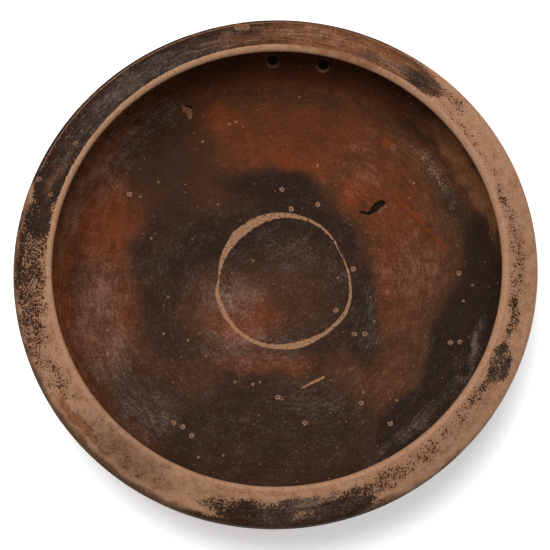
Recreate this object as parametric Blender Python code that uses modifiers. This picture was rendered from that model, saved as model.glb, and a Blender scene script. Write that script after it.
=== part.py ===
"""Pottery dish: a broad wheel-thrown basin with an incurved rim, a low ring foot and two suspension holes.

Metres, +Z up. The origin is under the middle of the foot, and +Y points to the side with the holes.
"""

import math

import bmesh
import bpy
from mathutils import Matrix, Vector
from mathutils.geometry import interpolate_bezier

# The rim: the shoulder is the widest circle, and the wall turns in from there to the lip.
SHOULDER_RADIUS = 0.115
SHOULDER_HEIGHT = 0.0465
SHOULDER_EDGE_RISE = 0.0026
SHOULDER_EDGE_INSET = 0.0020
SHOULDER_EDGE_ROUNDING = 0.0013
LIP_RISE = 0.0082
LIP_OVERHANG = 0.0168
LIP_WIDTH = 0.0034
LIP_THICKNESS = 0.0044
LIP_FALL = 0.0007

# The wall, the floor and the ring foot under it
WALL_THICKNESS = 0.0062
FLOOR_THICKNESS = 0.0065
FOOT_RECESS = 0.0050
FOOT_REST_RADIUS = 0.0315
FOOT_REST_WIDTH = 0.0038
FOOT_BEVEL = 0.0006
FOOT_OUTER_BATTER = 0.0016
FOOT_INNER_BATTER = 0.0022

# The basin's curve from the middle of the floor to the shoulder: shares of its radius and of its depth
BASIN_SHARES = (
    (0.00, 1.000),
    (0.18, 0.996),
    (0.38, 0.978),
    (0.55, 0.944),
    (0.70, 0.890),
    (0.82, 0.805),
    (0.905, 0.668),
    (0.958, 0.500),
    (0.989, 0.280),
    (1.00, 0.000),
)

# The two suspension holes, pierced through the wall below the rim a little more level than square to it,
# with worn mouths
HOLE_RADIUS = 0.0026
HOLE_DROP = 0.0198
HOLE_SPACING = 0.0226
HOLE_PAIR_BEARING = math.radians(84.3)
HOLE_LIFT = math.radians(27)
HOLE_MOUTH_WEAR = 0.0003

# A gouge and a flaked pit in the floor, each an oval scoop whose long way lies along its turn
GOUGE_DISTANCE = 0.0590
GOUGE_BEARING = math.radians(39.5)
GOUGE_LENGTH = 0.0110
GOUGE_WIDTH = 0.0038
GOUGE_DEPTH = 0.0017
GOUGE_TURN = math.radians(25)
PIT_DISTANCE = 0.0897
PIT_BEARING = math.radians(116)
PIT_LENGTH = 0.0074
PIT_WIDTH = 0.0054
PIT_DEPTH = 0.0012
PIT_TURN = math.radians(120)

# Fineness of the solids
TURNS = 72
STRETCH_POINTS = 3
HOLE_TURNS = 16
SCOOP_RINGS = 8
MERGE_DISTANCE = 0.00005

CLAY_COLOUR = (0.105, 0.050, 0.030, 1.0)
CLAY_ROUGHNESS = 0.62

OUTWARD = Vector((1, 0))
UPWARD = Vector((0, 1))


def smooth_line(points, leaving, arriving):
    """A smooth line through points of the section, leaving and arriving in the given directions."""
    points = [Vector(point) for point in points]
    inner = [(after - before).normalized() for before, after in zip(points, points[2:])]
    directions = [leaving, *inner, arriving]
    line = [points[0]]
    for a, b, leave, arrive in zip(points, points[1:], directions, directions[1:]):
        reach = (b - a).length / 3
        stretch = interpolate_bezier(a, a + leave * reach, b - arrive * reach, b, STRETCH_POINTS)
        line.extend(point.to_2d() for point in stretch[1:])
    return line


def basin_line():
    """The inside of the section, from the middle of the floor up to the level of the shoulder."""
    radius = SHOULDER_RADIUS - WALL_THICKNESS
    depth = SHOULDER_HEIGHT - FOOT_RECESS - FLOOR_THICKNESS
    points = [(share * radius, SHOULDER_HEIGHT - drop * depth) for share, drop in BASIN_SHARES]
    return smooth_line(points, OUTWARD, UPWARD)


def rim_line():
    """From the basin's top along the rim's underside, round the lip and out to the shoulder."""
    top = SHOULDER_HEIGHT + LIP_RISE
    lip_radius = SHOULDER_RADIUS - LIP_OVERHANG
    nose = LIP_THICKNESS / 2
    basin_top = Vector((SHOULDER_RADIUS - WALL_THICKNESS, SHOULDER_HEIGHT))
    lip_under = Vector((lip_radius + nose, top - LIP_THICKNESS))
    lip_nose = Vector((lip_radius, top - nose))
    lip_top = Vector((lip_radius + nose, top))
    lip_edge = Vector((lip_radius + LIP_WIDTH, top - LIP_FALL))
    edge = Vector((SHOULDER_RADIUS - SHOULDER_EDGE_INSET, SHOULDER_HEIGHT + SHOULDER_EDGE_RISE))
    shoulder = Vector((SHOULDER_RADIUS, SHOULDER_HEIGHT))
    down_the_rim = (edge - lip_edge).normalized()
    before_edge = edge - down_the_rim * SHOULDER_EDGE_ROUNDING
    underside = smooth_line([basin_top, lip_under.lerp(basin_top, 0.4), lip_under], UPWARD, -down_the_rim)
    lip = smooth_line([lip_under, lip_nose, lip_top], -down_the_rim, OUTWARD)
    crown = smooth_line([lip_top, lip_edge], OUTWARD, down_the_rim)
    outer = smooth_line([lip_edge, before_edge, edge, shoulder], down_the_rim, -UPWARD)
    return underside[1:] + lip[1:] + crown[1:] + outer[1:]


def wall_line(basin, end_radius):
    """The outside from the shoulder down to a radius: the basin's line moved out by the wall."""
    ahead = [*basin[1:], basin[-1] + UPWARD]
    behind = [basin[0], *basin[:-2], basin[-1]]
    line = []
    for point, before, after in zip(basin, behind, ahead):
        along = (after - before).normalized()
        line.append(point + Vector((along.y, -along.x)) * WALL_THICKNESS)
    line.reverse()
    outside = [point for point in line if point.x > end_radius]
    last, beyond = line[len(outside) - 1], line[len(outside)]
    outside.append(last.lerp(beyond, (last.x - end_radius) / (last.x - beyond.x)))
    return outside


def foot_line(root_radius):
    """From the foot's outer root down to its resting face, and up inside it to the middle of the recess."""
    outer = root_radius - FOOT_OUTER_BATTER
    inner = FOOT_REST_RADIUS - FOOT_REST_WIDTH / 2
    recess_radius = inner - FOOT_BEVEL - FOOT_INNER_BATTER
    return [
        Vector((outer, FOOT_BEVEL)),
        Vector((outer - FOOT_BEVEL, 0)),
        Vector((inner, 0)),
        Vector((inner - FOOT_BEVEL, FOOT_BEVEL)),
        Vector((recess_radius, FOOT_RECESS - FOOT_BEVEL)),
        Vector((recess_radius - FOOT_BEVEL, FOOT_RECESS)),
        Vector((0, FOOT_RECESS)),
    ]


def dish_section():
    """The whole section: over the floor, round the rim, down the outside and in under the foot."""
    basin = basin_line()
    root_radius = FOOT_REST_RADIUS + FOOT_REST_WIDTH / 2 + FOOT_BEVEL + FOOT_OUTER_BATTER
    return basin + rim_line() + wall_line(basin, root_radius) + foot_line(root_radius)


def turned_solid(name, section, turns, collection):
    """A solid made by turning a section round its upright axis."""
    mesh = bpy.data.meshes.new(name)
    edges = [(index, index + 1) for index in range(len(section) - 1)]
    mesh.from_pydata([(point.x, 0, point.y) for point in section], edges, [])
    solid = bpy.data.objects.new(name, mesh)
    collection.objects.link(solid)
    screw = solid.modifiers.new("turning", "SCREW")
    screw.axis = "Z"
    screw.steps = turns
    screw.render_steps = turns
    screw.use_merge_vertices = True
    screw.merge_threshold = MERGE_DISTANCE
    return solid


def at_bearing(point, bearing):
    """A point of the section, turned to a bearing round the dish."""
    return Vector((point.x * math.cos(bearing), point.x * math.sin(bearing), point.y))


def place_on(line, measure, value):
    """(place, direction) where a measure of a line's points first passes a value."""
    index = next(index for index, point in enumerate(line) if measure(point) > value)
    before, after = line[index - 1], line[index]
    share = (value - measure(before)) / (measure(after) - measure(before))
    return before.lerp(after, share), (after - before).normalized()


def as_cutter(obj):
    obj.hide_render = True
    obj.display_type = "WIRE"


def hole_cutter(name, side, cutters):
    """A straight bore through the wall, a little wider at both of its mouths."""
    centre, along = place_on(basin_line(), lambda point: point.y, SHOULDER_HEIGHT - HOLE_DROP)
    bearing = HOLE_PAIR_BEARING + side * math.asin(HOLE_SPACING / 2 / centre.x)
    through = Matrix.Rotation(HOLE_LIFT, 2) @ Vector((along.y, -along.x))
    mouth = HOLE_RADIUS + HOLE_MOUTH_WEAR
    section = [
        Vector((0, WALL_THICKNESS * 2)),
        Vector((mouth, WALL_THICKNESS * 2)),
        Vector((mouth, WALL_THICKNESS)),
        Vector((HOLE_RADIUS, WALL_THICKNESS - 2 * HOLE_MOUTH_WEAR)),
        Vector((HOLE_RADIUS, 2 * HOLE_MOUTH_WEAR)),
        Vector((mouth, 0)),
        Vector((mouth, -WALL_THICKNESS)),
        Vector((0, -WALL_THICKNESS)),
    ]
    cutter = turned_solid(name, section, HOLE_TURNS, cutters)
    cutter.location = at_bearing(centre, bearing)
    cutter.rotation_euler = at_bearing(through, bearing).to_track_quat("Z", "Y").to_euler()
    as_cutter(cutter)


def scoop_cutter(name, distance, bearing, size, turn, cutters):
    """A flattened ball of (length, width, depth), sunk into the floor to half its height."""
    length, width, depth = size
    surface, along = place_on(basin_line(), lambda point: point.x, distance)
    ball = bmesh.new()
    bmesh.ops.create_uvsphere(ball, u_segments=2 * SCOOP_RINGS, v_segments=SCOOP_RINGS, radius=1)
    bmesh.ops.scale(ball, vec=(length / 2, width / 2, depth), verts=ball.verts)
    lay = Matrix.Rotation(turn - bearing, 4, "Z")
    bmesh.ops.transform(ball, matrix=lay, verts=ball.verts)
    mesh = bpy.data.meshes.new(name)
    ball.to_mesh(mesh)
    ball.free()
    cutter = bpy.data.objects.new(name, mesh)
    cutters.objects.link(cutter)
    cutter.location = at_bearing(surface, bearing)
    cutter.rotation_euler = (0, -math.atan2(along.y, along.x), bearing)
    as_cutter(cutter)


def slipped_clay():
    material = bpy.data.materials.new("slipped clay")
    material.use_nodes = True
    finish = material.node_tree.nodes["Principled BSDF"]
    finish.inputs["Base Color"].default_value = CLAY_COLOUR
    finish.inputs["Roughness"].default_value = CLAY_ROUGHNESS
    finish.inputs["Metallic"].default_value = 0.0
    return material


def main():
    for obj in list(bpy.data.objects):
        bpy.data.objects.remove(obj)
    parts = bpy.data.collections.new("Pottery dish")
    cutters = bpy.data.collections.new("Cutters")
    bpy.context.scene.collection.children.link(parts)
    bpy.context.scene.collection.children.link(cutters)

    dish = turned_solid("dish", dish_section(), TURNS, parts)
    dish.data.materials.append(slipped_clay())

    hole_cutter("left hole", 1, cutters)
    hole_cutter("right hole", -1, cutters)
    gouge_size = (GOUGE_LENGTH, GOUGE_WIDTH, GOUGE_DEPTH)
    scoop_cutter("gouge", GOUGE_DISTANCE, GOUGE_BEARING, gouge_size, GOUGE_TURN, cutters)
    pit_size = (PIT_LENGTH, PIT_WIDTH, PIT_DEPTH)
    scoop_cutter("pit", PIT_DISTANCE, PIT_BEARING, pit_size, PIT_TURN, cutters)

    losses = dish.modifiers.new("holes and losses", "BOOLEAN")
    losses.operation = "DIFFERENCE"
    losses.operand_type = "COLLECTION"
    losses.collection = cutters
    losses.solver = "EXACT"


main()
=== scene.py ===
"""The pottery dish's looks: a wheel-thrown dish with a worn, mottled slip, on a plain pale floor."""

import math

import bmesh
import bpy
import numpy as np
from mathutils import Euler, Matrix, Vector, kdtree, noise
from mathutils.geometry import interpolate_bezier


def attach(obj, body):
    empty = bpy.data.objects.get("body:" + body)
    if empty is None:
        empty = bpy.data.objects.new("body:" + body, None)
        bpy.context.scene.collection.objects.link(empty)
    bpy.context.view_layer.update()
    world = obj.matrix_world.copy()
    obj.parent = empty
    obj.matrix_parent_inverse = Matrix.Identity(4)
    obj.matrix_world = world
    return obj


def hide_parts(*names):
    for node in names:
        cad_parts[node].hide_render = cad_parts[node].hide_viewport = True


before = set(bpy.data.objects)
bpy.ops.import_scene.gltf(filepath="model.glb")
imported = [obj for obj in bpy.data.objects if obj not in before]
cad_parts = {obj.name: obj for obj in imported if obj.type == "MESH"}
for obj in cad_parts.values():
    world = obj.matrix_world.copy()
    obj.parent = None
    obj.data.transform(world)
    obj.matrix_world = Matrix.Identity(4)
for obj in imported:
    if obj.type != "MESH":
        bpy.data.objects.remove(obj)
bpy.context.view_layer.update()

# The dish's clay body.
# One thrown vessel of tan clay: floor, wall, incurved rim and ring foot are a single piece. It is turned
# again here on a finer wheel, from the solid's own section, and then pierced and worn.
MM = 0.001
WELD = 0.01 * MM
FOOT_ZONE = 36.2 * MM
LIP_ZONE = (103.5 * MM, 48.5 * MM)
SPAN_LIP = 0.6 * MM
SPAN_INSIDE = 1.4 * MM
SPAN_OUTSIDE = 2.9 * MM
TURNS = 360


def section_of(solid):
    """The solid's section on its near side, from the floor's middle round the rim to the recess's middle."""
    welded = bmesh.new()
    welded.from_mesh(solid.data)
    bmesh.ops.remove_doubles(welded, verts=welded.verts, dist=WELD)
    near = {vert for vert in welded.verts if abs(vert.co.x) < WELD and vert.co.y < WELD}
    here = max((vert for vert in near if vert.co.y > -WELD), key=lambda vert: vert.co.z)
    line, passed = [], set()
    while here is not None:
        line.append(Vector((-here.co.y, here.co.z)))
        passed.add(here)
        ahead = [edge.other_vert(here) for edge in here.link_edges]
        ahead = [vert for vert in ahead if vert in near and vert not in passed]
        here = min(ahead, key=lambda vert: (vert.co - here.co).length) if ahead else None
    welded.free()
    line[0].x = 0
    if line[-1].x > WELD:
        line.append(Vector((0, line[-1].y)))
    return line


def finer(line):
    """The line with smooth curves between its points, and straight runs on the foot."""
    widest = max(range(len(line)), key=lambda index: line[index].x)
    fine = [line[0]]
    for index, (a, b) in enumerate(zip(line, line[1:])):
        outside = index >= widest
        lip = a.x < LIP_ZONE[0] and a.y > LIP_ZONE[1]
        span = SPAN_LIP if lip else SPAN_OUTSIDE if outside else SPAN_INSIDE
        pieces = math.ceil((b - a).length / span)
        if outside and a.x <= FOOT_ZONE:
            fine += [a.lerp(b, step / pieces) for step in range(1, pieces + 1)]
            continue
        before = line[index - 1] if index else Vector((-b.x, b.y))
        after = b * 2 - a if outside and b.x <= FOOT_ZONE else line[index + 2]
        reach = (b - a).length / 3
        leave = (b - before).normalized() * reach
        arrive = (after - a).normalized() * reach
        fine += [point.to_2d() for point in interpolate_bezier(a, a + leave, b - arrive, b, pieces + 1)[1:]]
    return fine


def turned(name, line, turns):
    """A piece made by turning a line round its upright axis."""
    mesh = bpy.data.meshes.new(name)
    edges = [(index, index + 1) for index in range(len(line) - 1)]
    mesh.from_pydata([(point.x, 0, point.y) for point in line], edges, [])
    piece = bpy.data.objects.new(name, mesh)
    bpy.context.scene.collection.objects.link(piece)
    screw = piece.modifiers.new("turning", "SCREW")
    screw.axis = "Z"
    screw.steps = turns
    screw.render_steps = turns
    screw.use_merge_vertices = True
    screw.merge_threshold = WELD
    return piece


def with_modifiers_applied(piece):
    graph = bpy.context.evaluated_depsgraph_get()
    mesh = bpy.data.meshes.new_from_object(piece.evaluated_get(graph))
    piece.modifiers.clear()
    piece.data = mesh
    return piece


section = finer(section_of(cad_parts["dish"]))
crest = max(range(len(section)), key=lambda index: section[index].y)
widest = max(range(len(section)), key=lambda index: section[index].x)
shoulder_radius, shoulder_height = section[widest]
lip_height = section[crest].y
dish = with_modifiers_applied(turned("worn_dish", section, TURNS))

# The two suspension holes.
# They were pierced through the soft wall under the far side of the rim, for a hanging cord. Their mouths
# are worn wide, and their lower edges are pale bare clay: partly chipped, partly painted light where the
# lamp falls on them.
HOLE_RADIUS = 2.6 * MM
HOLE_DROP = 19.8 * MM
HOLE_SPACING = 22.6 * MM
HOLE_PAIR_BEARING = math.radians(84.3)
HOLE_LIFT = math.radians(27)
HOLE_MOUTH_WEAR = 0.3 * MM
HOLE_WEAR_DEPTH = 0.8 * MM
HOLE_ROUGHNESS = 0.18 * MM
HOLE_ROUGHNESS_SIZE = 1.6 * MM
HOLE_TURNS = 40
HOLE_STEP = 0.5 * MM
HOLE_WORN_DEPTH = 0.7 * MM
WALL_THICKNESS = 6.2 * MM
PUNCH_REACH = 2 * WALL_THICKNESS
PUNCH_LENGTH = 3 * WALL_THICKNESS


def turned_to(point, bearing):
    """A point of the section, turned to a bearing round the dish."""
    return Vector((point.x * math.cos(bearing), point.x * math.sin(bearing), point.y))


def hole_line():
    """The hole's outline down its axis, worn a little wider towards both mouths."""
    line = []
    steps = math.ceil(PUNCH_LENGTH / HOLE_STEP)
    for step in range(steps + 1):
        height = PUNCH_REACH - PUNCH_LENGTH * step / steps
        within = min(height, WALL_THICKNESS - height)
        worn = HOLE_MOUTH_WEAR * math.exp(-max(within, 0) / HOLE_WEAR_DEPTH)
        line.append(Vector((HOLE_RADIUS + worn, height)))
    return [Vector((0, line[0].y)), *line, Vector((0, line[-1].y))]


hole_index = next(index for index, point in enumerate(section) if point.y > shoulder_height - HOLE_DROP)
hole_place = section[hole_index]
hole_along = (section[hole_index + 1] - section[hole_index - 1]).normalized()
half_spread = math.asin(HOLE_SPACING / 2 / hole_place.x)
hole_through = Matrix.Rotation(HOLE_LIFT, 2) @ Vector((hole_along.y, -hole_along.x))
hole_axes = []
for side in (1, -1):
    bearing = HOLE_PAIR_BEARING + side * half_spread
    punch = with_modifiers_applied(turned("punch", hole_line(), HOLE_TURNS))
    for vert in punch.data.vertices:
        rough = noise.noise(vert.co / HOLE_ROUGHNESS_SIZE + Vector((side, 0, 0))) * HOLE_ROUGHNESS
        vert.co += Vector((vert.co.x, vert.co.y, 0)).normalized() * rough
    punch.location = turned_to(hole_place, bearing)
    outward = turned_to(hole_through, bearing)
    punch.rotation_euler = outward.to_track_quat("Z", "Y").to_euler()
    hole_axes.append((punch.location.copy(), outward.normalized()))
    cut = dish.modifiers.new("pierced", "BOOLEAN")
    cut.operation = "DIFFERENCE"
    cut.solver = "EXACT"
    cut.object = punch
    with_modifiers_applied(dish)
    bpy.data.objects.remove(punch)

# The losses in the surface.
# Specks of lime in the clay burst as ring-shaped spalls. A gouge and a flaked pit go into the floor, and
# a shallow groove and a scratch run over it. All of them lie bare, without slip.
# The spalls and specks on the floor, seen in plan: (x, y) in millimetres
SPALLS_INSIDE = (
    (-66, 43), (3, 46), (7, 37), (19, 39), (35, 9), (27, -10), (35, -21), (40, -21), (78, -26), (82, -26),
    (38, -53), (1, -50), (-45, -62), (-41, -64), (-37, -68), (51, -63), (13, -62), (82, 6),
)
SPECKS_INSIDE = (
    (-10, 13), (-21, 76), (-18, 77), (-61, 42), (-53, 49), (-33, 68), (-26, 39), (-56, 23), (-39, -24),
    (-31, -31), (-18, -43), (-10, -44), (-75, -20), (-48, -4), (-50, -21), (19, 57), (11, 88), (62, 48),
    (3, -51), (28, 5), (39, -48), (-34, -78), (-23, -77), (88, 0), (84, -7), (44, -15), (54, -52), (-7, -43),
)
# On the rim: (bearing in degrees, radius in millimetres)
SPALLS_ON_RIM = ((148, 105.2), (64, 112), (62, 103.4), (159, 112), (162, 104.8), (276, 105.7), (278, 110))
FLAKES_ON_RIM = ((97, 111.6), (98.5, 112), (82.5, 103.4))
HOLE_EDGE_BARE = 0.75 * MM
SPALL_RADIUS = 1.2 * MM
SPECK_RADIUS = 0.65 * MM
FLAKE_RADIUS = 2.3 * MM
SPALL_DEPTH = 0.42 * MM
CHIP_PLACE = Vector((53, 64.5)) * MM
CHIP_RADIUS = 1.3 * MM

# Down each line in the floor: (x, y, half width), in millimetres
GOUGE_LINE = (
    (38.2, 35.5, 0.4), (39.7, 34.9, 0.7), (41.9, 34.6, 0.9), (43.3, 35.3, 1.3), (44.4, 37.0, 1.9),
    (45.8, 38.4, 2.1), (47.4, 39.3, 1.9), (48.9, 39.5, 0.9),
)
GOUGE_DEPTH = 1.9 * MM
GOUGE_FLANK = ((44.6, 35.4, 0.9), (46.8, 36.5, 1.7), (48.6, 37.9, 1.5), (49.7, 38.8, 0.8))
GOUGE_FLANK_DEPTH = 0.7 * MM
PIT_LINE = ((-41.6, 82.8, 1.2), (-39.4, 81.6, 1.9), (-38.9, 79.0, 1.3))
PIT_DEPTH = 1.0 * MM
PIT_SLOT = ((-40.4, 83.4, 0.5), (-38.2, 82.8, 0.8))
GROOVE_LINE = ((50.4, 43.6, 0.4), (55.9, 36.5, 1.0), (64.4, 27.2, 1.2), (74.9, 16.1, 1.0))
GROOVE_DEPTH = 0.22 * MM
BURR_LINE = ((52, 45.5, 0.5), (57.5, 38.4, 1.5), (66, 29, 1.8), (76.5, 17.8, 1.7))
BURR_HEIGHT = 0.30 * MM
SCRATCH_LINE = ((11.5, -46.0, 0.25), (16.0, -43.6, 0.5), (21.3, -41.0, 0.6))
SCRATCH_DEPTH = 0.15 * MM

REFINED_REACH = 1.5
REFINED_MARGIN = 0.6 * MM
FINEST_SPAN = 0.35 * MM
RIDGE_SPAN = 0.75 * MM
REFINED_STEP = 2.0
REFINING_PASSES = 3


def height_at(radius, line):
    """The height of a stretch of the section, running outward or inward, at a radius."""
    radii = [point.x for point in line]
    heights = [point.y for point in line]
    if radii[0] > radii[-1]:
        radii.reverse()
        heights.reverse()
    return float(np.interp(radius, radii, heights))


def on_floor(x, y):
    return Vector((x, y, height_at(math.hypot(x, y), section[:hole_index])))


def on_rim(bearing, distance):
    radius = distance * MM
    return turned_to(Vector((radius, height_at(radius, section[crest:widest]))), math.radians(bearing))


# Each spot's place, radius and share of a spall's depth
spots = [(on_floor(x * MM, y * MM), SPALL_RADIUS, 1.0) for x, y in SPALLS_INSIDE]
spots += [(on_floor(x * MM, y * MM), SPECK_RADIUS, 0.4) for x, y in SPECKS_INSIDE]
spots += [(on_rim(*spot), SPALL_RADIUS, 0.8) for spot in SPALLS_ON_RIM]
spots += [(on_rim(*spot), FLAKE_RADIUS, 0.3) for spot in FLAKES_ON_RIM]
spots += [(on_floor(*CHIP_PLACE), CHIP_RADIUS, 0.5)]
fine_lines = (GOUGE_LINE, GOUGE_FLANK, PIT_LINE, PIT_SLOT, SCRATCH_LINE)

# Each place where the mesh is made finer, how far round it, and the longest edge left there
worked = [(place, radius * REFINED_REACH, FINEST_SPAN) for place, radius, _ in spots]
for line in (*fine_lines, GROOVE_LINE, BURR_LINE):
    span = FINEST_SPAN if line in fine_lines else RIDGE_SPAN
    for (x, y, half_width), (next_x, next_y, next_half_width) in zip(line, line[1:]):
        pieces = math.ceil(math.hypot(next_x - x, next_y - y) / REFINED_STEP)
        for share in np.linspace(0, 1, pieces + 1):
            place = on_floor((x + (next_x - x) * share) * MM, (y + (next_y - y) * share) * MM)
            worked.append((place, max(half_width, next_half_width) * MM + REFINED_MARGIN, span))
for centre, outward in hole_axes:
    for mouth in (0, WALL_THICKNESS):
        worked.append((centre + outward * mouth, HOLE_RADIUS * 2, FINEST_SPAN))

form = bmesh.new()
form.from_mesh(dish.data)
near = kdtree.KDTree(len(worked))
for index, (place, _, _) in enumerate(worked):
    near.insert(place, index)
near.balance()
for _ in range(REFINING_PASSES):
    chosen = set()
    for face in form.faces:
        centre = face.calc_center_median()
        _, index, distance = near.find(centre)
        _, reach, span = worked[index]
        if distance < reach + SPAN_INSIDE / 2:
            chosen.update(edge for edge in face.edges if edge.calc_length() > span)
    bmesh.ops.subdivide_edges(form, edges=list(chosen), cuts=1, use_grid_fill=True)
bmesh.ops.triangulate(form, faces=[face for face in form.faces if len(face.verts) > 4])
form.normal_update()
form.to_mesh(dish.data)
form.free()

# The relief of throwing, wear and losses.
# The wheel left faint rings inside, the shoulder a little oval and the lip a little to one side. Use wore
# the lip, the shoulder and the foot, and the losses are sunk into the clay.
LIP_LEAN = 1.1 * MM
OVAL = 0.0034
OVAL_ROOM = 0.9999
RING_SPACING = 5.2 * MM
RING_HEIGHT = 0.012 * MM
TURN_RIDGE_RADIUS = 90 * MM
TURN_RIDGE_WIDTH = 2.2 * MM
TURN_RIDGE_HEIGHT = 0.16 * MM
TURN_RIDGE_BEARING = math.radians(50)
SWELL_SIZE = 22 * MM
SWELL_HEIGHT = 0.10 * MM
GRAIN_SIZE = 2.6 * MM
GRAIN_HEIGHT = 0.035 * MM
EDGE_NIBBLE = 0.16 * MM
EDGE_NIBBLE_SIZE = 3.2 * MM
EDGE_INWARD = 2.1 * MM
EDGE_WIDTH = 1.6 * MM
JAGGED_SIZE = 1.1 * MM
RAGGED_SIZE = 0.8 * MM
RAGGEDNESS = 0.35
FLAT_FOOT = 0.1 * MM
FAR_AWAY = 10.0
LIP_BAND = (-4.2 * MM, 1.9 * MM)
CHUNK = 8000


def smooth_step(value, low, high):
    share = np.clip((value - low) / (high - low), 0, 1)
    return share * share * (3 - 2 * share)


def line_lengths(line):
    """How far along the line each of its points lies."""
    points = np.array([tuple(point) for point in line])
    return np.concatenate([[0], np.cumsum(np.linalg.norm(np.diff(points, axis=0), axis=1))])


def place_along(radius, height, line, lengths):
    """(how far along the line, how far off it) for each place of a radius and a height."""
    points = np.array([tuple(point) for point in line])
    start, run = points[:-1], np.diff(points, axis=0)
    along, off = np.empty(len(radius)), np.empty(len(radius))
    for first in range(0, len(radius), CHUNK):
        part = slice(first, first + CHUNK)
        place = np.stack([radius[part], height[part]], axis=1)[:, None, :]
        share = np.clip(((place - start) * run).sum(2) / (run * run).sum(1), 0, 1)
        gap = np.linalg.norm(place - start - share[..., None] * run, axis=2)
        best = gap.argmin(axis=1)
        rows = np.arange(len(best))
        along[part] = lengths[best] + share[rows, best] * np.linalg.norm(run[best], axis=1)
        off[part] = gap[rows, best]
    return along, off


def line_sunk(places, line):
    """How deep each place lies within a line with half widths: 1 on the line, 0 at its edge and beyond."""
    deepest = np.zeros(len(places))
    for (x, y, half_width), (next_x, next_y, next_half_width) in zip(line, line[1:]):
        start = np.array((x, y)) * MM
        run = np.array((next_x, next_y)) * MM - start
        share = np.clip((places[:, :2] - start) @ run / (run @ run), 0, 1)
        gap = np.linalg.norm(places[:, :2] - start - share[:, None] * run, axis=1) * jagged
        width = (half_width + (next_half_width - half_width) * share) * MM
        deepest = np.maximum(deepest, 1 - smooth_step(gap / width, 0.35, 1.0))
    return deepest


def noise_at(places, size, octaves=2):
    return np.array([noise.fractal(Vector(place) / size, 1.0, 2.0, octaves) for place in places])


count = len(dish.data.vertices)
places = np.empty(count * 3)
dish.data.vertices.foreach_get("co", places)
places = places.reshape(-1, 3)
normals = np.empty(count * 3)
dish.data.vertex_normals.foreach_get("vector", normals)
normals = normals.reshape(-1, 3)

radius = np.hypot(places[:, 0], places[:, 1])
bearing = np.arctan2(places[:, 1], places[:, 0])
lengths = line_lengths(section)
along, off = place_along(radius, places[:, 2], section, lengths)
inside = along < lengths[crest] + LIP_BAND[0]
on_top = along < lengths[widest]
in_hole = smooth_step(off, 0.05 * MM, 0.4 * MM)

jagged = 1 + RAGGEDNESS * noise_at(places, JAGGED_SIZE)
sunk = np.zeros(count)
bare = in_hole.copy()
# core is painted shade: dark deep in the bores here, and in the spalls' middles, the gouge and the pit's
# slot below.
core = in_hole * smooth_step(off, HOLE_WORN_DEPTH, HOLE_WORN_DEPTH + 0.5 * MM)

for centre, outward in hole_axes:
    from_hole = places - np.array(centre)
    gap = np.linalg.norm(np.cross(from_hole, np.array(outward)), axis=1) * (0.8 + 0.2 * jagged)
    facing = from_hole @ np.array(outward) < WALL_THICKNESS
    near_edge = 1 - smooth_step(gap, HOLE_RADIUS + HOLE_MOUTH_WEAR, HOLE_RADIUS + HOLE_EDGE_BARE)
    near_centre = np.linalg.norm(from_hole, axis=1) < 2 * WALL_THICKNESS
    # Bare only below each mouth's middle: partly chipped wear, partly painted light where the lamp lights
    # the lower edge.
    low_edge = smooth_step(centre.z - places[:, 2], 0, HOLE_RADIUS / 2)
    bare = np.maximum(bare, near_edge * low_edge * facing * near_centre)

# The rings of throwing, and a soft ridge where the wall turns up.
swell = noise_at(places, SWELL_SIZE)
rings = np.sin(2 * math.pi * (radius / RING_SPACING + 0.35 * swell))
sunk += inside * RING_HEIGHT * (1 + rings) * smooth_step(radius, 8 * MM, 30 * MM)
ridge = np.exp(-((radius - TURN_RIDGE_RADIUS) / TURN_RIDGE_WIDTH) ** 2)
sunk -= inside * TURN_RIDGE_HEIGHT * ridge * (0.5 + 0.5 * np.cos(bearing - TURN_RIDGE_BEARING))
sunk += SWELL_HEIGHT * np.abs(swell)

# The nibbled edges of the lip and the shoulder, and the grain of the worn clay.
grain = noise_at(places, GRAIN_SIZE)
nibble = np.clip(noise_at(places, EDGE_NIBBLE_SIZE, 3), 0, 1)
lip_band = smooth_step(along, lengths[crest] + LIP_BAND[0], lengths[crest] - 1 * MM)
lip_band *= 1 - smooth_step(along, lengths[crest] + 0.8 * MM, lengths[crest] + LIP_BAND[1])
edge_radius = shoulder_radius - EDGE_INWARD
edge_index = next(index for index in range(crest, widest) if section[index].x > edge_radius)
edge_band = np.exp(-((along - lengths[edge_index]) / EDGE_WIDTH) ** 2)
sunk += EDGE_NIBBLE * nibble * np.maximum(lip_band, edge_band)
sunk += GRAIN_HEIGHT * np.abs(grain) * (~inside)

# The losses.
finder = kdtree.KDTree(len(spots))
for index, (place, _, _) in enumerate(spots):
    finder.insert(place, index)
finder.balance()
for index in range(count):
    _, spot, distance = finder.find(places[index])
    _, reach, depth = spots[spot]
    if distance > reach * REFINED_REACH or not on_top[index]:
        continue
    ragged = 1 + RAGGEDNESS * noise.noise(Vector(places[index]) / RAGGED_SIZE)
    share = distance * ragged / reach
    rim = 1 - smooth_step(share, 0.75, 1.0)
    middle = 1 - smooth_step(share, 0.32, 0.62)
    sunk[index] += SPALL_DEPTH * depth * (0.3 * rim + 0.7 * middle)
    bare[index] = max(bare[index], rim * (0.6 + 0.3 * depth))
    core[index] = max(core[index], middle * min(0.75, depth))

floor_places = np.where(inside[:, None], places, FAR_AWAY)
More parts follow.
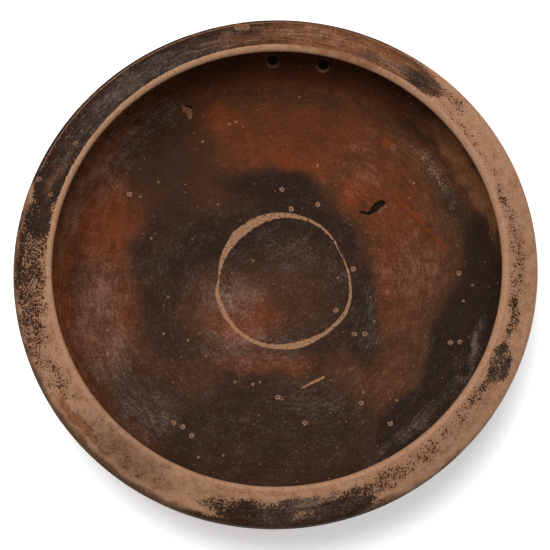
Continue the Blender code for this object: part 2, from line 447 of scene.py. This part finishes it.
# Each line's depth, how bare it lies, and how dark it is painted as shade in its hollow
for line, depth, bareness, darkness in (
    (GOUGE_LINE, GOUGE_DEPTH, 0.4, 1.0),
    (GOUGE_FLANK, GOUGE_FLANK_DEPTH, 0.4, 0.35),
    (PIT_LINE, PIT_DEPTH, 1.0, 0.1),
    (PIT_SLOT, PIT_DEPTH, 0.3, 1.0),
    (GROOVE_LINE, GROOVE_DEPTH, 0.0, 0.0),
    (BURR_LINE, -BURR_HEIGHT, 0.0, 0.0),
    (SCRATCH_LINE, SCRATCH_DEPTH, 1.0, 0.0),
):
    depth_share = line_sunk(floor_places, line)
    sunk += depth * depth_share
    bare = np.maximum(bare, bareness * smooth_step(depth_share, 0.02, 0.3))
    core = np.maximum(core, darkness * smooth_step(depth_share, 0.15, 0.5))

sunk[places[:, 2] < FLAT_FOOT] = 0
sunk[~on_top] = np.maximum(sunk[~on_top], 0)
places -= normals * sunk[:, None]

lean_from = section[edge_index].y
above_edge = np.clip((places[:, 2] - lean_from) / (lip_height - lean_from), 0, 1)
stretch = (1 + OVAL * np.sin(2 * bearing) * radius / shoulder_radius) * OVAL_ROOM
places[:, 0] = places[:, 0] * stretch + LIP_LEAN * above_edge
places[:, 1] *= stretch
places[:, 2] = np.clip(places[:, 2], 0, lip_height)
dish.data.vertices.foreach_set("co", places.ravel())

for name, values in (("along", along), ("bare", bare), ("core", core)):
    dish.data.attributes.new(name, "FLOAT", "POINT").data.foreach_set("value", values)
dish.data.shade_smooth()
dish.data.update()

# The slip and the clay's surface.
# A thin iron slip covers the clay. The kiln fired it red where air reached it and black where it didn't.
# On the lip and most of the rim it is worn through to tan clay, down to scattered grains.

# Some ovals paint light and shade: painted shade on the far side of the basin, painted light on the left
# wall under the lip.
# Inside, seen in plan: (x, y, half length, half width, turn, softness, strength), in mm and degrees
BLACK_AND_SHADE_INSIDE = (
    (-5, 3, 45, 49, 0, 0.12, 0.85), (-42, 8, 22, 46, 0, 0.25, 0.72), (-5, -72, 58, 34, 0, 0.3, 0.72),
    (-48, -58, 28, 22, -25, 0.5, 0.56), (70, 70, 14, 20, 45, 0.6, 0.4), (-48, 61, 22, 18, 30, 0.6, 0.62),
    (39, -10, 9, 26, 0, 0.5, 0.95), (-2, 47, 28, 8.5, -10, 0.5, 0.95), (20, 38, 12, 6, -50, 0.5, 0.7),
    # The next oval is painted shade: it darkens the far part of the floor, which lies less lit.
    (14, 72, 48, 16, -5, 0.8, 0.3),
)
LESS_BLACK_INSIDE = (
    (-16, -10, 25, 20, 10, 0.5, 0.9), (-6, -33, 26, 7, 0, 0.6, 0.7), (10, -3, 21, 21, 0, 0.7, 0.5),
    (-30, 42, 16, 8, 0, 0.8, 0.25),
)
BLACK_AND_SHADE_BY_WALL = (
    (-22, 92, 28, 17, 0, 0.3, 1.1), (4, 94, 18, 12, 0, 0.4, 1.0), (-44, 96, 18, 19, 0, 0.3, 1.05),
    (-80, 103, 24, 9, 0, 0.5, 0.8), (28, 88, 14, 5, 0, 0.8, 0.75), (47, 99, 8, 6, 0, 0.6, 0.85),
    # The last oval on the next line is painted shade: dark slip colour on the far wall, where the lip shades
    # it.
    (132, 96, 20, 12, 0, 0.6, 0.35), (-130, 103, 26, 4, 0, 0.6, 0.2), (80, 101, 50, 7, 0, 0.6, 0.45),
)
ORANGE_INSIDE = (
    (12, 68, 50, 18, -5, 0.6, 0.55), (-25, 76, 12, 9, 0, 0.6, 0.6), (46, 44, 26, 20, -40, 0.6, 0.5),
    (58, 12, 16, 30, 0, 0.5, 0.5), (48, -40, 13, 18, -20, 0.5, 0.25), (-77, 30, 17, 26, 0, 0.4, 0.62),
    (-76, -15, 16, 26, 0, 0.4, 0.5), (-14, -14, 18, 15, 0, 0.5, 0.6), (-6, -33, 26, 6, 0, 0.6, 0.5),
    (-58, -74, 16, 7, -30, 0.6, 0.5), (-84, -50, 7, 10, 30, 0.6, 0.45), (-10, -88, 40, 8, 0, 0.7, 0.4),
    (52, 65, 2.4, 2.0, 0, 0.5, 1.3), (8, 58, 22, 5, -12, 0.6, 0.75), (36, 46, 7, 12, -40, 0.5, 0.7),
)
ORANGE_AND_LIGHT_BY_WALL = (
    # The first oval on the next line is orange slip on the left wall under the lip, made strong as painted
    # light that lifts the lip's shade there.
    (180, 102, 55, 9, 0, 0.5, 1.0), (-30, 102, 16, 2.5, 0, 0.6, 0.5),
    (-130, 102, 22, 5, 0, 0.7, 0.7), (85, 99, 45, 8, 0, 0.6, 0.45),
)
GREY_INSIDE = (
    (-10, -25, 90, 70, 0, 0.3, 0.25), (-79, -8, 13, 28, 0, 0.9, 0.62), (-72, -32, 13, 22, 0, 0.7, 0.6),
    (-52, 78, 9, 9, 0, 0.7, 0.55), (-68, 66, 16, 10, 45, 0.8, 0.55), (-55, -58, 16, 17, 0, 0.8, 0.5),
    (-17, -4, 16, 13, 0, 0.9, 0.75), (20, -52, 28, 22, 0, 0.9, 0.4), (-22, -10, 14, 14, 0, 0.9, 0.55),
    (62, 8, 14, 22, 0, 0.9, 0.5), (-80, 50, 13, 16, 0, 0.8, 0.5), (40, 55, 14, 12, 0, 0.9, 0.35),
    (14, 10, 22, 18, 0, 0.9, 0.4), (42, -14, 8, 24, 0, 0.8, 0.4), (-14, -26, 26, 12, 0, 0.9, 0.6),
)
GREY_AND_LIGHT_BY_WALL = (
    (-46, 92, 24, 3, 0, 0.9, 0.55), (-20, 97, 14, 1.5, 0, 0.9, 0.7), (26, 88, 10, 4, 0, 0.9, 0.5),
    # The next oval is bloom on the left wall under the lip, made strong as painted light that lifts the
    # lip's shade there.
    (150, 97, 24, 5, 0, 0.9, 0.65),
)
# The second oval is thin slip on the left wall under the lip, made strong as painted light that lifts the
# lip's shade there.
THIN_AND_LIT_BY_WALL = ((30, 101, 18, 5, 0, 0.8, 1.0), (165, 101, 45, 6, 0, 0.7, 0.7))
WORN_BY_WALL = ((37, 89, 20, 8, 0, 0.9, 0.9), (14, 98, 9, 3, 0, 0.9, 0.88))
STAINED_LOSSES = (
    (11, 101, 20, 9, 0, 0.4, 0.7), (-40, 81, 7, 7, 0, 0.5, 0.75), (53, 64.5, 5, 5, 0, 0.5, 1.2),
    (46, 37, 7, 7, 0, 0.5, 0.6),
)

# On the rim, unrolled: (bearing, mm out from the lip, half angle, half width, turn, softness, strength)
COVER_ON_RIM = (
    (122, 6, 32, 10, 0, 0.3, 1.3), (148, 6, 20, 10, 0, 0.4, 1.2), (167, 6, 8, 9, 0, 0.7, 0.8),
    (180, 7, 14, 9, 0, 0.6, 0.6), (178, 12.5, 14, 3, 0, 0.7, 0.72), (190, 8, 12, 7, 0, 0.7, 0.58),
    (196, 11, 13, 5, 0, 0.8, 0.54), (207, 8, 13, 6, 0, 0.8, 0.48), (80, 6, 30, 11, 0, 0.3, 1.3),
    (58, 6, 9, 9, 0, 0.4, 0.85), (51, 5.5, 5, 7, 0, 0.6, 0.74), (45, 8, 8, 4, 0, 0.7, 0.5),
    (34, 2, 20, 3.4, 0, 0.8, 0.47), (14, 2.8, 15, 4.2, 0, 0.7, 0.49), (0, 4.5, 14, 5.5, 0, 0.8, 0.51),
    (-12, 4.5, 9, 4.5, 0, 0.7, 0.59), (-21.5, 3.5, 3.2, 3.2, 0, 0.8, 0.74), (-24, 9.5, 4, 2.8, 0, 0.7, 0.8),
    (-26.5, 5, 2.8, 3.6, 0, 0.8, 0.76), (-24, 6, 6.5, 6.5, 0, 0.8, 0.62), (-32, 4, 8, 4.5, 0, 0.8, 0.56),
    (-42, 4.5, 12, 6, 0, 0.8, 0.47), (-52, 5, 12, 6, 0, 0.8, 0.5), (-62, 5.5, 10, 6, 0, 0.7, 0.53),
    (-66, 9, 7, 3.5, 0, 0.7, 0.57), (-72, 6.5, 9, 5, 0, 0.7, 0.62),
    (-94, 10.5, 9, 5.5, 0, 0.6, 1.0), (-76, 11, 9, 5.5, 0, 0.6, 1.0),
    (-86, 6.5, 14, 4, 0, 0.6, 0.66), (-99, 8, 11, 4.5, 0, 0.6, 0.62), (-90, 15, 22, 2.6, 0, 0.7, 0.9),
    (-141, 9.5, 8, 3, 0, 0.6, 0.57), (-153, 6, 20, 8, 0, 0.8, 0.42),
    (-125, 8, 20, 6, 0, 0.8, 0.41), (-10, 6, 60, 9, 0, 0.8, 0.40),
)
RED_ON_RIM = (
    (72, 6, 24, 10, 0, 0.5, 0.8), (157, 5, 6, 2.4, 0, 0.8, 0.45), (-141, 10, 8, 2.6, 0, 0.8, 0.8),
    (96, 4, 12, 6, 0, 0.8, 0.5), (-110, 45, 60, 24, 0, 0.9, 0.55), (20, 58, 40, 20, 0, 0.9, 0.5),
    (140, 52, 35, 18, 0, 0.9, 0.45),
)
BLACK_ON_RIM = (
    (54, 5, 5, 4, 0, 0.8, 0.9), (49, 9, 6, 3, 0, 0.8, 0.6), (98, 9, 4, 3, 0, 0.6, 0.6),
    (66, 3, 5, 2, 0, 0.8, 0.5),
)
GREY_ON_RIM = (
    (125, 5, 36, 7, 0, 0.8, 0.6), (84, 7, 14, 5, 0, 0.8, 0.5), (62, 4, 9, 4, 0, 0.8, 0.6),
    (-82, 5, 9, 3.5, 0, 0.7, 0.7), (50, 6, 6, 6, 0, 0.9, 0.4), (-85, 10, 18, 6, 0, 0.9, 0.5),
    (-24, 7, 7, 7, 0, 0.9, 0.5),
)
# Grime, darker on the lower left side, and in the last oval painted shade along the outer edge where the rim
# turns under.
GRIME_AND_SHADE_ON_RIM = (
    (-125, 5, 45, 8, 0, 0.9, 0.5), (-128, 6, 18, 9, 0, 0.9, 0.75), (-90, 7, 60, 6, 0, 0.8, 0.4),
    (-45, 10, 40, 5, 0, 0.8, 0.4), (190, 8, 30, 7, 0, 0.9, 0.4), (5, 9, 30, 7, 0, 0.9, 0.35),
    (-125, 18.5, 80, 5.5, 0, 0.8, 1.4),
)
WORN_EDGE = ((118, 0, 45, 1, 0, 0.5, 0.75), (66, 0, 20, 1, 0, 0.5, 0.8), (168, 0, 20, 1, 0, 0.8, 0.5))
# The bare side of the wall: its bearing and half its angle, and how far down it runs in millimetres
BARE_WALL = (-2, 52)
BARE_WALL_DROP = 14
FOOT_WEAR = (0.3 * MM, 1.4 * MM)
FOOT_INSIDE = 28 * MM

# The bare ring that a stacked vessel's foot left: (bearing, inner radius, outer radius) about its middle
STACK_MIDDLE = Vector((4.2, 3.5, 0)) * MM
STACK_RING = (
    (0, 28.4, 29.7), (15, 28.0, 28.9), (30, 27.7, 28.1), (38, 28.5, 29.3), (45, 28.7, 29.7),
    (60, 29.2, 30.7), (75, 29.5, 31.2), (90, 29.4, 31.8), (105, 28.9, 32.3), (115, 28.4, 32.5),
    (125, 28.0, 32.2), (135, 27.9, 32.7), (145, 28.1, 31.7), (160, 28.7, 31.0), (170, 29.0, 30.3),
    (177, 29.3, 29.8), (183, 29.5, 30.8), (190, 29.7, 31.8), (210, 29.8, 32.1), (225, 30.2, 32.0),
    (240, 30.2, 32.1), (255, 29.8, 31.9), (265, 29.4, 31.5), (275, 28.5, 31.6), (285, 28.3, 31.6),
    (295, 28.4, 31.1), (302, 28.9, 30.8), (315, 29.3, 31.0), (330, 29.7, 31.7), (345, 29.6, 31.0),
    (360, 28.4, 29.7),
)
WHEEL_STREAK = 12 * MM
CLOUD_SIZE = 14 * MM
MOTTLE_SIZE = 4.5 * MM
FINE_MOTTLE_SIZE = 1.3 * MM
SLIP_GRAIN_SIZE = 0.78 * MM
DUST_SIZE = 0.5 * MM
STREAK_SIZE = 1.1 * MM
BUMP_HEIGHT = 0.12 * MM
BUMP_STRENGTH = 0.8
GLOSS = 0.045
# How the slip's outlines drift: (size of the noise, how far it pushes)
DRIFTS = ((30 * MM, 5 * MM), (8 * MM, 2.2 * MM), (2.5 * MM, 1.0 * MM))
RIM_DRIFTS = ((9 * MM, 2.4 * MM), (2.5 * MM, 1.0 * MM))
DRIFT_SEED = 3
LIP_EDGE = 0.8 * MM
LIP_LINE = 1.9 * MM


def seen(red, green, blue):
    """A colour as seen on a screen, 0 to 255, in the linear values that a material takes."""
    levels = [value / 255 for value in (red, green, blue)]
    linear = [level / 12.92 if level <= 0.04045 else ((level + 0.055) / 1.055) ** 2.4 for level in levels]
    return (*linear, 1)


DARK_SLIP_AND_SHADE = seen(34, 22, 15)
BROWN_SLIP = seen(62, 37, 22)
ORANGE_SLIP_AND_LIGHT = seen(98, 44, 16)
THIN_SLIP_AND_LIGHT = seen(101, 64, 41)
BLOOM_AND_LIGHT = seen(105, 92, 84)
PALE_CLAY = seen(152, 116, 91)
RED_CLAY = seen(138, 98, 71)
STAIN = seen(112, 68, 42)
GRIME_AND_SHADE = seen(78, 55, 39)
STACK_CLAY = seen(138, 100, 73)
HOLLOW_SHADE = seen(12, 8, 6)


def drifted(spots, drifts):
    """The places, each pushed about by noise, so that what is laid out on them gets wandering edges."""
    noise.seed_set(DRIFT_SEED)
    pushed = spots.copy()
    for size, reach in drifts:
        pushed += reach * np.array([noise.noise_vector(Vector(spot) / size) for spot in spots])
    return pushed


def field(x, y, ovals):
    """How strongly each place lies in the ovals, which fall off softly over their edges."""
    strongest = np.zeros(len(x))
    for middle_x, middle_y, half_length, half_width, turn, softness, strength in ovals:
        cos, sin = math.cos(math.radians(turn)), math.sin(math.radians(turn))
        over = ((x - middle_x) * cos + (y - middle_y) * sin) / half_length
        up = ((y - middle_y) * cos - (x - middle_x) * sin) / half_width
        oval = 1 - smooth_step(np.hypot(over, up), 1 - softness, 1 + softness)
        strongest = np.maximum(strongest, strength * oval)
    return strongest


def rim_field(bearings, out, ovals):
    """The same on the unrolled rim, where a bearing wraps round."""
    strongest = np.zeros(len(bearings))
    for oval in ovals:
        round_rim = (bearings - oval[0] + 180) % 360 - 180
        strongest = np.maximum(strongest, field(round_rim, out, [(0, *oval[1:])]))
    return strongest


thrown = np.stack([radius * np.cos(bearing), radius * np.sin(bearing), places[:, 2]], axis=1)
plan_x, plan_y = drifted(thrown, DRIFTS).T[:2] / MM
wall_bearing, wall_radius = np.degrees(np.arctan2(plan_y, plan_x)), np.hypot(plan_x, plan_y)
round_x, round_y = drifted(thrown, RIM_DRIFTS).T[:2]
rim_bearing = np.degrees(np.arctan2(round_y, round_x))
rim_out = (along - lengths[crest] - LIP_EDGE + np.hypot(round_x, round_y) - radius) / MM


def inside_field(ovals, by_wall):
    return np.maximum(field(plan_x, plan_y, ovals), rim_field(wall_bearing, wall_radius, by_wall))


thin_rim = rim_field(rim_bearing, rim_out, RED_ON_RIM)
black_rim = np.maximum(0.85 - thin_rim, rim_field(rim_bearing, rim_out, BLACK_ON_RIM))
grey_rim = rim_field(rim_bearing, rim_out, GREY_ON_RIM)
thin_and_lit_wall = rim_field(wall_bearing, wall_radius, THIN_AND_LIT_BY_WALL)
black_and_shade_inside = inside_field(BLACK_AND_SHADE_INSIDE, BLACK_AND_SHADE_BY_WALL) * (1 - field(plan_x, plan_y, LESS_BLACK_INSIDE))
black = np.where(inside, black_and_shade_inside * (1 - thin_and_lit_wall), black_rim)
# Along the burr the slip is more orange and less grey: partly its own colour, partly a painted highlight on
# its lit flank.
on_burr = line_sunk(floor_places, BURR_LINE)
orange = np.where(inside, inside_field(ORANGE_INSIDE, ORANGE_AND_LIGHT_BY_WALL) + 0.3 * on_burr, 0.2 * thin_rim)
grey = np.where(inside, inside_field(GREY_INSIDE, GREY_AND_LIGHT_BY_WALL) - 0.4 * on_burr, grey_rim)
worn = rim_field(wall_bearing, wall_radius, WORN_BY_WALL)
stained = np.maximum(bare * field(plan_x, plan_y, STAINED_LOSSES), 0.45 * worn)
# thin is thin slip, and on the left wall under the lip it is also painted light.
thin = np.where(inside, np.maximum(stained, thin_and_lit_wall), thin_rim)

# Below the shoulder the slip is whole, but for the side where the bare clay of the rim runs on down the wall
below = rim_out - (lengths[widest] - lengths[crest] - LIP_EDGE) / MM
off_bare_side = np.abs((rim_bearing - BARE_WALL[0] + 180) % 360 - 180)
bare_side = 1 - smooth_step(off_bare_side, BARE_WALL[1] - 12, BARE_WALL[1] + 4)
wall_cover = 1.3 * (1 - bare_side * (1 - smooth_step(below, 4, BARE_WALL_DROP)))
cover = rim_field(rim_bearing, rim_out, COVER_ON_RIM)
cover = cover + (wall_cover - cover) * smooth_step(below, -0.4, 2.2)
cover = np.where(inside, 1.5 - worn, cover)
foot_wear = 1 - smooth_step(places[:, 2], *FOOT_WEAR)
foot_wear *= radius > FOOT_INSIDE
cover = cover - 1.2 * foot_wear * ~inside
edge_worn = rim_field(rim_bearing, np.zeros(count), WORN_EDGE)
grime_and_shade = rim_field(rim_bearing, rim_out, GRIME_AND_SHADE_ON_RIM) * ~inside

ring_bearing = np.degrees(np.arctan2(thrown[:, 1] - STACK_MIDDLE.y, thrown[:, 0] - STACK_MIDDLE.x)) % 360
ring_turns, ring_inner, ring_outer = np.array(STACK_RING).T
for name, values in (
    ("black", black), ("orange", orange), ("grey", grey), ("cover", cover), ("edge_worn", edge_worn),
    ("grime_and_shade", grime_and_shade), ("thin", thin),
    ("ring_inner", np.interp(ring_bearing, ring_turns, ring_inner) * MM),
    ("ring_outer", np.interp(ring_bearing, ring_turns, ring_outer) * MM),
    ("within", inside.astype(float)),
):
    dish.data.attributes.new(name, "FLOAT", "POINT").data.foreach_set("value", values)


class Shade:
    """A socket in a material, so that shader maths reads as Python."""

    def __init__(self, tree, socket):
        self.tree = tree
        self.socket = socket

    def node(self, kind, settings, sockets, output=0):
        """Another node: its settings come first, then the values or links of its sockets."""
        made = self.tree.nodes.new("ShaderNode" + kind)
        for name, value in settings.items():
            setattr(made, name, value)
        for name, value in sockets.items():
            if isinstance(value, Shade):
                self.tree.links.new(value.socket, made.inputs[name])
            else:
                made.inputs[name].default_value = value
        return Shade(self.tree, made.outputs[output])

    def maths(self, operation, other=0.0):
        return self.node("Math", {"operation": operation}, {0: self, 1: other})

    def __add__(self, other):
        return self.maths("ADD", other)

    def __sub__(self, other):
        return self.maths("SUBTRACT", other)

    def __mul__(self, other):
        return self.maths("MULTIPLY", other)

    def __rsub__(self, other):
        return self.node("Math", {"operation": "SUBTRACT"}, {0: other, 1: self})

    __radd__ = __add__
    __rmul__ = __mul__

    def most(self, other):
        return self.maths("MAXIMUM", other)

    def rise(self, low, high):
        """0 below low, 1 above high, and smooth between them."""
        bounds = {"Value": self, "From Min": low, "From Max": high}
        return self.node("MapRange", {"interpolation_type": "SMOOTHSTEP"}, bounds)

    def fall(self, low, high):
        return 1 - self.rise(low, high)

    def cover(self, under, over):
        """With this value as the factor, the colour over on the colour under."""
        return self.node("Mix", {"data_type": "RGBA"}, {0: self, 6: under, 7: over}, output=2)

    def shaded(self, amount):
        """A colour made lighter or darker by a value."""
        return self.node("VectorMath", {"operation": "SCALE"}, {0: self, "Scale": amount})

    def vector_maths(self, operation, other=(0, 0, 0), output=0):
        return self.node("VectorMath", {"operation": operation}, {0: self, 1: other}, output)

    def noise(self, size, detail=2.0, roughness=0.5, output=0):
        scale = {"Vector": self, "Scale": 1 / size, "Detail": detail, "Roughness": roughness}
        return self.node("TexNoise", {}, scale, output)

    def dots(self, spacing, dot, share):
        """Scattered round dots of about one size, kept at a share of their places."""
        cells = self.node("TexVoronoi", {}, {"Vector": self, "Scale": 1 / spacing}, output="Distance")
        kept = self.node("TexVoronoi", {}, {"Vector": self, "Scale": 1 / spacing}, output="Color")
        kept = kept.rise(0.64 - share * 0.3, 0.66 - share * 0.3)
        return cells.fall(dot / spacing * 0.6, dot / spacing) * kept

    def along_wheel(self, way):
        """The place as the wheel passes it: by the way over the section, and slowly round the dish."""
        round_dish = self.node("VectorMath", {"operation": "SCALE"}, {0: self, "Scale": WHEEL_STREAK})
        over = self.node("CombineXYZ", {}, {"Z": way})
        return round_dish.vector_maths("ADD", over)

    def attribute(self, name):
        return self.node("Attribute", {"attribute_name": name}, {}, output="Fac")


surface = bpy.data.materials.new("worn slip on tan clay")
surface.use_nodes = True
tree = surface.node_tree
finish = tree.nodes["Principled BSDF"]
place = Shade(tree, tree.nodes.new("ShaderNodeTexCoord").outputs["Object"])
way = place.attribute("along")
within = place.attribute("within")
lost = place.attribute("bare")
deep = place.attribute("core")

clouds = place.noise(CLOUD_SIZE, 4.0, 0.6) - 0.5
mottle = place.noise(MOTTLE_SIZE, 4.0, 0.65) - 0.5
fine_mottle = place.noise(FINE_MOTTLE_SIZE, 3.0, 0.65) - 0.5
grain = place.noise(SLIP_GRAIN_SIZE, 1.5, 0.5) - 0.5
dust = place.noise(DUST_SIZE, 2.0, 0.7) - 0.5
heading = place.vector_maths("MULTIPLY", (1, 1, 0)).vector_maths("NORMALIZE")
streaks = heading.along_wheel(way).noise(STREAK_SIZE, 3.0, 0.6) - 0.5

# The slip's colour: brown, fired orange or black, with a grey bloom and pale grains, and in places painted
# light and shade.
black_slip_and_shade = (place.attribute("black") + mottle * 0.5 + streaks * 0.25).rise(0.04, 1.0)
orange_slip_and_light = (place.attribute("orange") + clouds * 0.35 + mottle * 0.45 + streaks * 0.3).rise(0.0, 1.1)
thin_slip_and_light = (place.attribute("thin") + mottle * 0.8 + streaks * 0.8).rise(0.1, 1.0)
slip = orange_slip_and_light.cover(BROWN_SLIP, ORANGE_SLIP_AND_LIGHT)
slip = thin_slip_and_light.cover(slip, THIN_SLIP_AND_LIGHT)
slip = black_slip_and_shade.cover(slip, DARK_SLIP_AND_SHADE)
bloom = place.attribute("grey") * 0.9 + clouds * 0.5 + mottle * 0.6 + fine_mottle * 0.6
bloom = (bloom + dust * 1.3 + streaks * 0.7).rise(0.16, 1.4) * 0.8
slip = bloom.cover(slip, BLOOM_AND_LIGHT)
slip = slip.shaded(1.06 + clouds * 0.5 + mottle * 0.9 + fine_mottle * 1.0 + dust * 1.0 + streaks * 0.6)
slip = slip.shaded(1 + place.attribute("thin") * (1 - within) * (fine_mottle * 1.0 + streaks * 1.6))

# The bare clay: stained, grimy and darker on its lower left side, with painted shade toward its outer edge
# and along the lip, and darker in its pores.
crest_way = float(lengths[crest])
edge_way = float(lengths[edge_index])
clay = (mottle + clouds * 0.5).rise(-0.15, 0.25).cover(PALE_CLAY, RED_CLAY)
clay = (place.attribute("thin") + mottle * 0.9).rise(0.25, 1.0).cover(clay, STAIN)
# A dark line along the lip band's outer edge: partly the slip's edge, partly painted shade under the lip's
# step.
lip_shade_line = (way + fine_mottle * (0.5 * MM) - float(lengths[crest] + LIP_LINE)).maths("ABSOLUTE")
lip_shade_line = lip_shade_line.fall(0.1 * MM, 0.5 * MM) * (mottle + grain).rise(-0.1, 0.15) * 0.3
slipped = (place.attribute("cover") + mottle * 0.5 + dust * 0.8).rise(0.2, 0.8)
clay = (slipped * way.rise(crest_way + LIP_EDGE, crest_way + LIP_EDGE + MM) * 0.5).cover(clay, STAIN)
clay = (place.attribute("grime_and_shade") + lip_shade_line + mottle * 0.8 + dust * 0.9).rise(0.1, 1.1).cover(clay, GRIME_AND_SHADE)
clay = (place.dots(1.7 * MM, 0.3 * MM, 0.4) * 0.55).cover(clay, GRIME_AND_SHADE)
clay = clay.shaded(1 + dust * 1.0 + fine_mottle * 0.8 + mottle * 0.6 + clouds * 0.3)

# Where the slip holds: whole, in islands and grains, or not at all.
holds = place.attribute("cover") + grain * 0.9 + dust * 0.6 + fine_mottle * 0.5 + mottle * 0.4
holds = holds.rise(0.5, 0.6)
ragged = fine_mottle * (1.6 * MM) + mottle * (1.2 * MM)
lip_bare = (way + ragged).fall(crest_way + LIP_EDGE - 0.15 * MM, crest_way + LIP_EDGE + 0.15 * MM)
lip_bare = lip_bare * way.rise(crest_way + LIP_BAND[0], crest_way + LIP_BAND[0] + 1 * MM)
edge_gap = (way + ragged * 0.8 - (edge_way + 0.2 * MM)).maths("ABSOLUTE")
edge_line = edge_gap.fall(0.2 * MM, 0.6 * MM) * (place.attribute("edge_worn") + mottle * 1.8).rise(0.3, 0.6)
from_stack = place.vector_maths("SUBTRACT", tuple(STACK_MIDDLE)).vector_maths("MULTIPLY", (1, 1, 0))
from_stack = from_stack.vector_maths("LENGTH", output=1) + fine_mottle * (1.2 * MM)
stacked = (from_stack - place.attribute("ring_inner")).rise(-0.1 * MM, 0.25 * MM)
stacked = stacked * (place.attribute("ring_outer") - from_stack).rise(-0.1 * MM, 0.25 * MM) * within
stacked = stacked * (grain + fine_mottle * 0.5).rise(-0.22, -0.08)
grains = place.dots(3.8 * MM, 0.33 * MM, 0.6).most(place.dots(2.3 * MM, 0.36 * MM, 0.3) * (1 - within))
bare_clay = ((1 - holds) * (1 - within * 0.4)).most(lost * 0.9).most(lip_bare)
bare_clay = bare_clay.most(edge_line * 0.6).most(grains * 0.8)

colour = bare_clay.cover(slip, clay)
ring_clay = (mottle + grain).rise(-0.2, 0.25).cover(STACK_CLAY, clay)
colour = (stacked * 0.88).cover(colour, ring_clay)
# Painted shade in the hollows: deep in the bores, in the spalls' middles, the gouge and the pit's slot.
colour = (deep * 0.95).cover(colour, HOLLOW_SHADE)
tree.links.new(colour.socket, finish.inputs["Base Color"])
rough = 0.68 + 0.2 * bare_clay.most(stacked) + 0.2 * mottle + 0.1 * bloom
tree.links.new(rough.socket, finish.inputs["Roughness"])
height = dust * 0.8 + grain * 0.5 + fine_mottle * 0.6 + streaks * 0.3 - 0.5 * bare_clay.most(stacked)
bump = place.node("Bump", {}, {"Strength": BUMP_STRENGTH, "Distance": BUMP_HEIGHT, "Height": height})
tree.links.new(bump.socket, finish.inputs["Normal"])
finish.inputs["Specular IOR Level"].default_value = GLOSS
dish.data.materials.clear()
dish.data.materials.append(surface)

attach(dish, "root")
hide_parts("dish")

# The floor, the light and the camera.
# A broad pale sheet, faintly lit from beneath, lies under the dish. A big soft lamp stands at the far
# left, and the room fills in.
FLOOR_SIZE = 6.0
FLOOR_COLOUR = seen(252, 252, 252)
FLOOR_ROUGHNESS = 0.9
KEY_BEARING = math.radians(122)
KEY_SLANT = math.radians(14)
KEY_DISTANCE = 2.4
KEY_SIZE = 1.7
KEY_POWER = 71
SKY_STRENGTH = 0.34
FLOOR_GLOW = 0.41
CAMERA_AIM = Vector((-0.24 * MM, 1.56 * MM, 30 * MM))
CAMERA_DISTANCE = 1.5
CAMERA_ELEVATION = math.radians(75.44)
SENSOR_WIDTH = 36.0
FRAME_PIXELS = 550
FOCAL_PIXELS = 3384

bpy.ops.mesh.primitive_plane_add(size=FLOOR_SIZE)
floor = bpy.context.object
floor.name = "pale_floor"
paper = bpy.data.materials.new("pale paper")
paper.use_nodes = True
for name, value in (
    ("Base Color", FLOOR_COLOUR), ("Roughness", FLOOR_ROUGHNESS),
    ("Emission Color", FLOOR_COLOUR), ("Emission Strength", FLOOR_GLOW),
):
    paper.node_tree.nodes["Principled BSDF"].inputs[name].default_value = value
floor.data.materials.append(paper)

lamp = bpy.data.lights.new("soft lamp", "AREA")
lamp.shape = "DISK"
lamp.size = KEY_SIZE
lamp.energy = KEY_POWER
lamp_stand = bpy.data.objects.new("soft lamp", lamp)
lamp_stand.location = Vector((0, 0, KEY_DISTANCE))
lamp_stand.location.rotate(Euler((0, KEY_SLANT, KEY_BEARING)))
lamp_stand.rotation_euler = (-lamp_stand.location).to_track_quat("-Z", "Y").to_euler()
lamp_stand.visible_camera = False
bpy.context.scene.collection.objects.link(lamp_stand)

room = bpy.data.worlds.new("pale room")
room.use_nodes = True
room.node_tree.nodes["Background"].inputs["Color"].default_value = (1, 1, 1, 1)
room.node_tree.nodes["Background"].inputs["Strength"].default_value = SKY_STRENGTH
bpy.context.scene.world = room
bpy.context.scene.view_settings.view_transform = "Standard"

camera_data = bpy.data.cameras.new("camera")
camera_data.sensor_width = SENSOR_WIDTH
camera_data.lens = FOCAL_PIXELS / FRAME_PIXELS * SENSOR_WIDTH
camera = bpy.data.objects.new("camera", camera_data)
back = Vector((0, -math.cos(CAMERA_ELEVATION), math.sin(CAMERA_ELEVATION)))
camera.location = CAMERA_AIM + back * CAMERA_DISTANCE
camera.rotation_euler = (-back).to_track_quat("-Z", "Y").to_euler()
bpy.context.scene.collection.objects.link(camera)
bpy.context.scene.camera = camera
